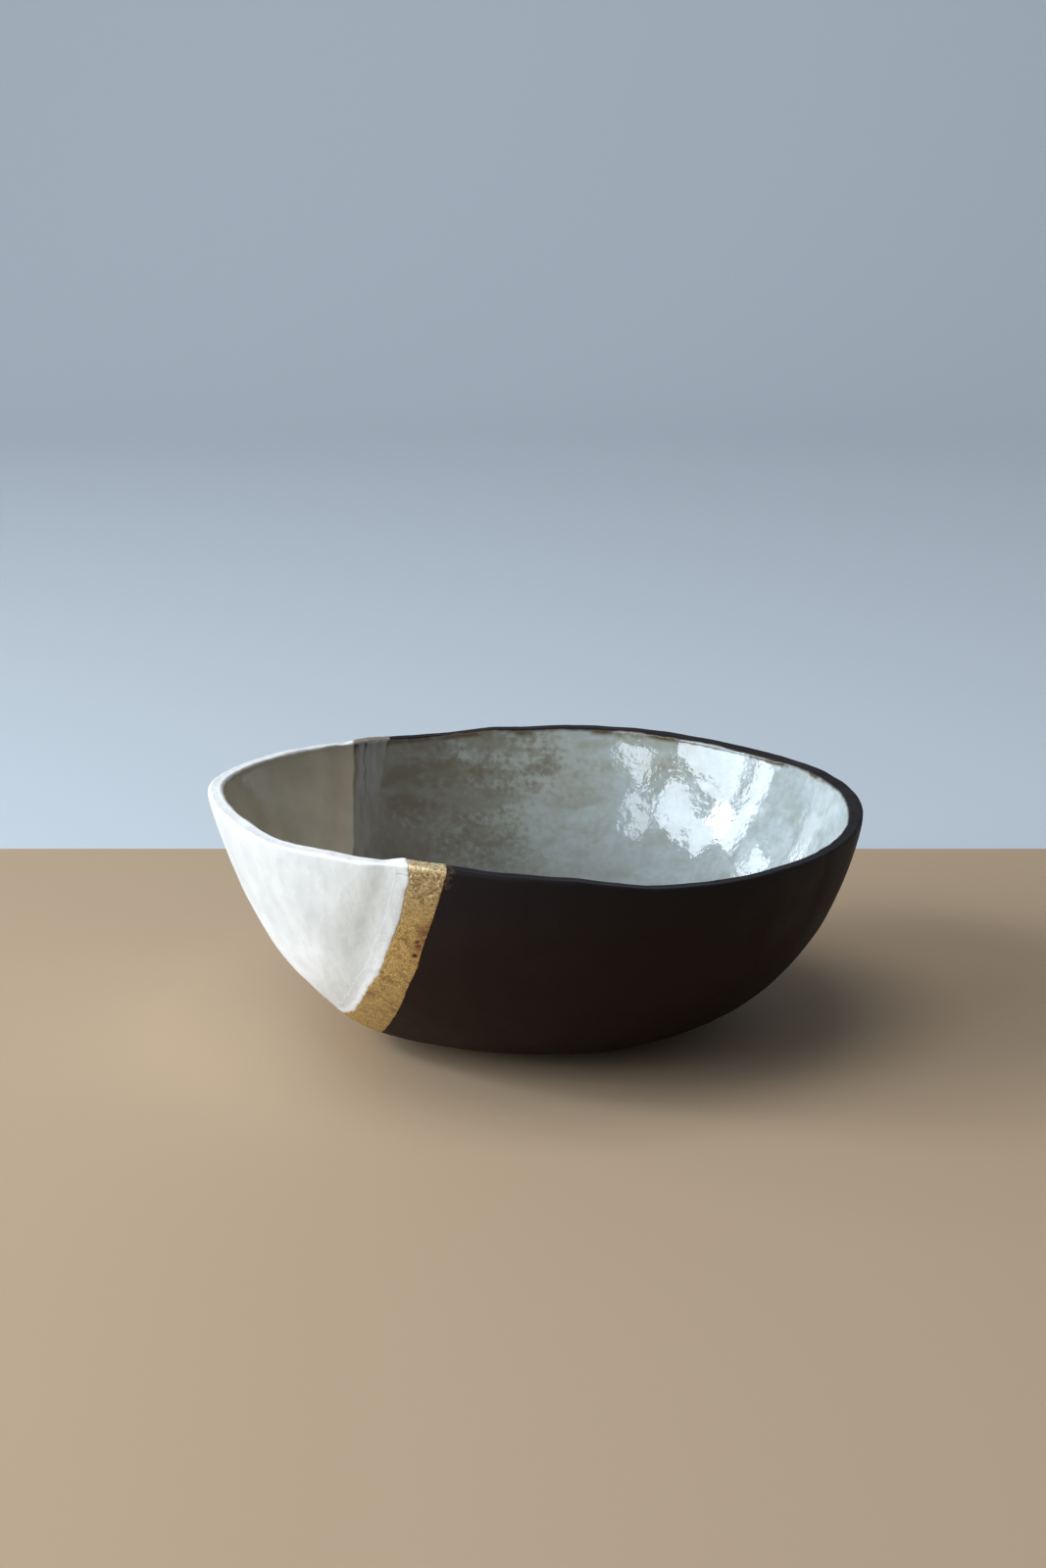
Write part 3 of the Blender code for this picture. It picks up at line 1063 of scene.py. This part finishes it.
def streaked_glaze(look, across, below):
    """The colour of the glaze over the gold: grey streaks that run down between brown lines,
    darkest at the lip, and all fade as they run."""
    streaks = look.noise(0.0032, 4.0, (1.0, 0.4, 0.10))
    tone = look.mix(look.range(streaks, 0.34, 0.66), STREAK_DEEP, STREAK_PALE)
    fade = look.range(below, 0.034, 0.006)
    grey = look.product(look.range(across, 0.10, 0.22), look.range(across, 0.96, 0.84), fade)
    strands = look.range(streaks, 0.4, 0.6, 0.35, 0.85)
    tone = look.mix(look.product(grey, strands), tone, STREAK_GREY)
    for line, width in ((0.06, 0.09), (0.37, 0.06), (0.99, 0.09)):
        beside = look.math("ABSOLUTE", look.math("SUBTRACT", across, line), 0.0)
        broken = look.range(streaks, 0.35, 0.6, 0.1, 0.8)
        brown = look.product(look.range(beside, width, 0.0), fade, broken)
        tone = look.mix(brown, tone, STREAK_BROWN)
        blot = look.product(look.range(beside, width * 1.3, 0.0), look.range(below, 0.006, 0.001))
        tone = look.mix(blot, tone, STREAK_BLOT)
    return tone


def dark_glaze(look, past, below):
    """The colour of the glaze over the black clay: olive beside the band, then mottled grey-green
    to white, with level streaks near the lip, a rust-brown edge and a few dark specks. The darker
    olive beside the band is partly painted shade, where that wall faces away from the window, and
    the lighter, bluer grey towards the right is partly painted window light and bluish reflection.
    Deep in the bowl it is painted darker as shade."""
    cloud = look.noise(0.024, 5.0, (1.0, 1.0, 1.2), 0.3)
    levels = look.noise(0.009, 4.0, (0.22, 0.22, 1.0), 0.2)
    uprights = look.noise(0.006, 4.0, (1.0, 1.0, 0.25))
    speckle = look.noise(0.0026, 4.0)
    near_lip = look.range(below, 0.030, 0.008, 0.05, 0.18)
    near_lip = look.product(near_lip, look.range(past, 0.02, 0.20, 0.3, 1.0))
    light = look.sum(
        # partly painted light: lighter across towards the right, where the wall faces the window
        look.range(past, -0.06, 1.0, 0.02, 0.86),
        look.range(below, 0.020, 0.042, 0.0, 0.08),
        # painted shade: darker deep in the bowl
        look.range(below, 0.055, 0.085, 0.0, -0.23),
        look.range(cloud, 0.28, 0.72, -0.11, 0.11),
        look.product(look.range(levels, 0.3, 0.7, -1.0, 1.0), near_lip),
        look.range(uprights, 0.3, 0.7, -0.04, 0.04),
        look.range(speckle, 0.3, 0.7, -0.10, 0.10),
    )
    tone = look.shades(light, DARK_GLAZE)
    # pale patches towards the right: the glaze's own mottling, made bluer as a painted window
    # reflection
    pale = look.product(look.range(look.noise(0.012, 4.0), 0.5, 0.62), look.range(past, 0.5, 0.9))
    tone = look.mix(look.product(pale, 0.6), tone, GLAZE_PALE)
    olive = look.range(look.noise(0.010, 5.0, (0.7, 0.7, 1.3), 0.4), 0.42, 0.70, 0.0, 0.6)
    olive = look.product(olive, look.range(past, 0.35, 0.70, 1.0, 0.45))
    tone = look.mix(olive, tone, GLAZE_OLIVE)
    # painted shade: darker, bluish grey deep in the bowl
    tone = look.mix(look.range(below, 0.030, 0.075, 0.0, 0.45), tone, GLAZE_DEEP_SHADE)
    beside_band = look.range(past, 0.32, 0.05)
    brown = look.product(beside_band, look.range(below, 0.015, 0.050, 0.0, 0.55))
    tone = look.mix(brown, tone, GLAZE_BROWN)
    patches = look.range(look.noise(0.014, 4.0), 0.48, 0.60)
    rust = look.product(look.range(below, 0.0030, 0.0010), patches)
    tone = look.mix(rust, tone, GLAZE_RUST)
    tone = look.mix(look.range(below, 0.0013, 0.0006, 0.0, 0.8), tone, GLAZE_END)
    specks = look.range(look.cells(0.016), 0.045, 0.025, 0.0, 0.8)
    return look.mix(specks, tone, GLAZE_SPECK)


def glaze():
    """The glossy glaze: clear, streaked over the band, and mottled over the black clay. Its
    reflections are a little blue."""
    look = Look("glaze", 0.1)
    look.set("IOR", 1.70)
    look.set("Specular Tint", (0.88, 0.92, 1.0, 1.0))
    below = look.value("below")
    across = look.value("across")
    wander = look.range(look.noise(0.006, 3.0, (1.0, 1.0, 0.4)), 0.3, 0.7, -0.07, 0.07)
    inner = look.range(across, 0.0, 0.3, 0.35, 1.0)
    wandering = look.math("ADD", across, look.product(wander, inner))
    streaked = streaked_glaze(look, wandering, below)
    dark = dark_glaze(look, look.value("past"), below)
    tone = look.mix(look.range(wandering, -0.05, 0.05), clear_glaze(look, below), streaked)
    crisp = look.range(wandering, 0.93, 1.04)
    blurred = look.range(wandering, 0.55, 1.45)
    lower = look.range(below, 0.008, 0.028)
    softened = look.product(lower, look.math("SUBTRACT", blurred, crisp))
    look.set("Base Color", look.mix(look.math("ADD", crisp, softened), tone, dark))
    look.set("Roughness", look.range(look.noise(0.012, 3.0), 0.3, 0.7, 0.05, 0.11))
    crinkle = look.bump(look.noise(0.0022, 2.0), 0.0003, 0.20)
    look.set("Normal", look.bump(look.noise(0.006, 2.0), 0.0004, 0.24, crinkle))
    return look.material


def to_frame(points, low, high):
    """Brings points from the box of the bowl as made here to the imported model's box."""
    packed_low, packed_high = np.array(cad_low), np.array(cad_high)
    return packed_low + (points - low) * (packed_high - packed_low) / (high - low)


def add_piece(name, points, faces, material, values):
    """One mesh of the bowl, with values for its material to read."""
    mesh = bpy.data.meshes.new(name)
    mesh.from_pydata(points.tolist(), [], faces)
    mesh.shade_smooth()
    mesh.materials.append(material)
    for value_name, numbers in values.items():
        attribute = mesh.attributes.new(value_name, "FLOAT", "POINT")
        attribute.data.foreach_set("value", numbers.astype(np.float32))
    piece = bpy.data.objects.new(name, mesh)
    bpy.context.scene.collection.objects.link(piece)
    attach(piece, "root")
    return piece


def add_bowl():
    """The bowl's pieces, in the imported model's place."""
    lines = BandLines()
    white, black = wavering_edges(lines)
    white_body, black_body = make_clay()
    parts = {
        "white_clay": (white_clay, clay_part(*joined(white_body, make_ledge(lines, white)))),
        "black_clay": (black_clay, clay_part(*black_body)),
        "gold_band": (gold, make_gold(lines, white, black)),
        "glaze": (glaze, make_glaze()),
    }
    everything = np.concatenate([points for _, (points, _, _) in parts.values()])
    low, high = everything.min(axis=0), everything.max(axis=0)
    for name, (material, (points, faces, values)) in parts.items():
        piece = add_piece(name, to_frame(points, low, high), faces, material(), values)
        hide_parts("bowl")


def add_sheet(name, profile, colour, roughness):
    """A broad sheet for the stage, along +X, with this profile of (y, z) points."""
    mesh = bpy.data.meshes.new(name)
    sides = [(x, y, z) for y, z in profile for x in (-STAGE_WIDTH, STAGE_WIDTH)]
    steps = range(0, len(sides) - 2, 2)
    mesh.from_pydata(sides, [], [(i, i + 1, i + 3, i + 2) for i in steps])
    mesh.shade_smooth()
    sheet = bpy.data.objects.new(name, mesh)
    bpy.context.scene.collection.objects.link(sheet)
    look = Look(name, roughness, specular=0.15)
    look.set("Base Color", srgb(*colour))
    mesh.materials.append(look.material)
    sheet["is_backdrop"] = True


def add_stage():
    """A plain pale floor, and plain grey-blue paper that lies behind it and turns up."""
    turn = np.linspace(0.0, math.pi / 2, 33)
    bend = [
        (PAPER_TURN + PAPER_BEND * math.sin(angle), PAPER_BEND * (1.0 - math.cos(angle)))
        for angle in turn
    ]
    add_sheet("floor", ((-STAGE_WIDTH, 0.0), (FLOOR_END, 0.0)), FLOOR, 0.8)
    paper = [(FLOOR_END, 0.0), *bend, (PAPER_TURN + PAPER_BEND, STAGE_WIDTH)]
    add_sheet("backdrop", paper, PAPER, 0.9)


def add_light(name, centre, towards, width, height, power, colour, mirrored=True):
    """A soft rectangular light that the camera doesn't see, its width level. Unless it is mirrored,
    glossy surfaces don't show it."""
    data = bpy.data.lights.new(name, "AREA")
    data.shape = "RECTANGLE"
    data.size, data.size_y = width, height
    data.energy = power
    data.color = colour
    light = bpy.data.objects.new(name, data)
    bpy.context.scene.collection.objects.link(light)
    light.location = centre
    light.rotation_euler = Vector(towards).to_track_quat("-Z", "Y").to_euler()
    light.visible_camera = False
    light.visible_glossy = mirrored


def add_lights():
    """The panes of two windows on the left, a light over the bowl, one over the paper and a weak
    one in front, and the room's soft light."""
    for number, (across, level, width, height, brightness) in enumerate(PANES):
        centre = (WINDOW_X, across, level)
        power = WINDOW_POWER * brightness * width * height
        add_light(f"pane_{number}", centre, (1.0, 0.0, 0.0), width, height, power, WINDOW_COLOUR)
    for lamp in LAMPS:
        add_light(*lamp, mirrored=False)
    world = bpy.data.worlds.new("room")
    world.use_nodes = True
    background = world.node_tree.nodes["Background"]
    background.inputs["Color"].default_value = srgb(*ROOM)
    background.inputs["Strength"].default_value = ROOM_STRENGTH
    bpy.context.scene.world = world


def add_camera():
    """The camera at the photograph's place, looking down along +Y."""
    data = bpy.data.cameras.new("camera")
    data.lens = LENS
    data.sensor_width = SENSOR_WIDTH
    data.clip_end = VIEW_END
    camera = bpy.data.objects.new("camera", data)
    bpy.context.scene.collection.objects.link(camera)
    back = Vector((0.0, -math.cos(CAMERA_DOWN), math.sin(CAMERA_DOWN)))
    camera.location = Vector(CAMERA_TARGET) + back * CAMERA_DISTANCE
    camera.rotation_euler = (math.pi / 2 - CAMERA_DOWN, 0.0, 0.0)
    bpy.context.scene.camera = camera


add_camera()
add_bowl()
add_stage()
add_lights()
bpy.context.scene.view_settings.view_transform = "Standard"
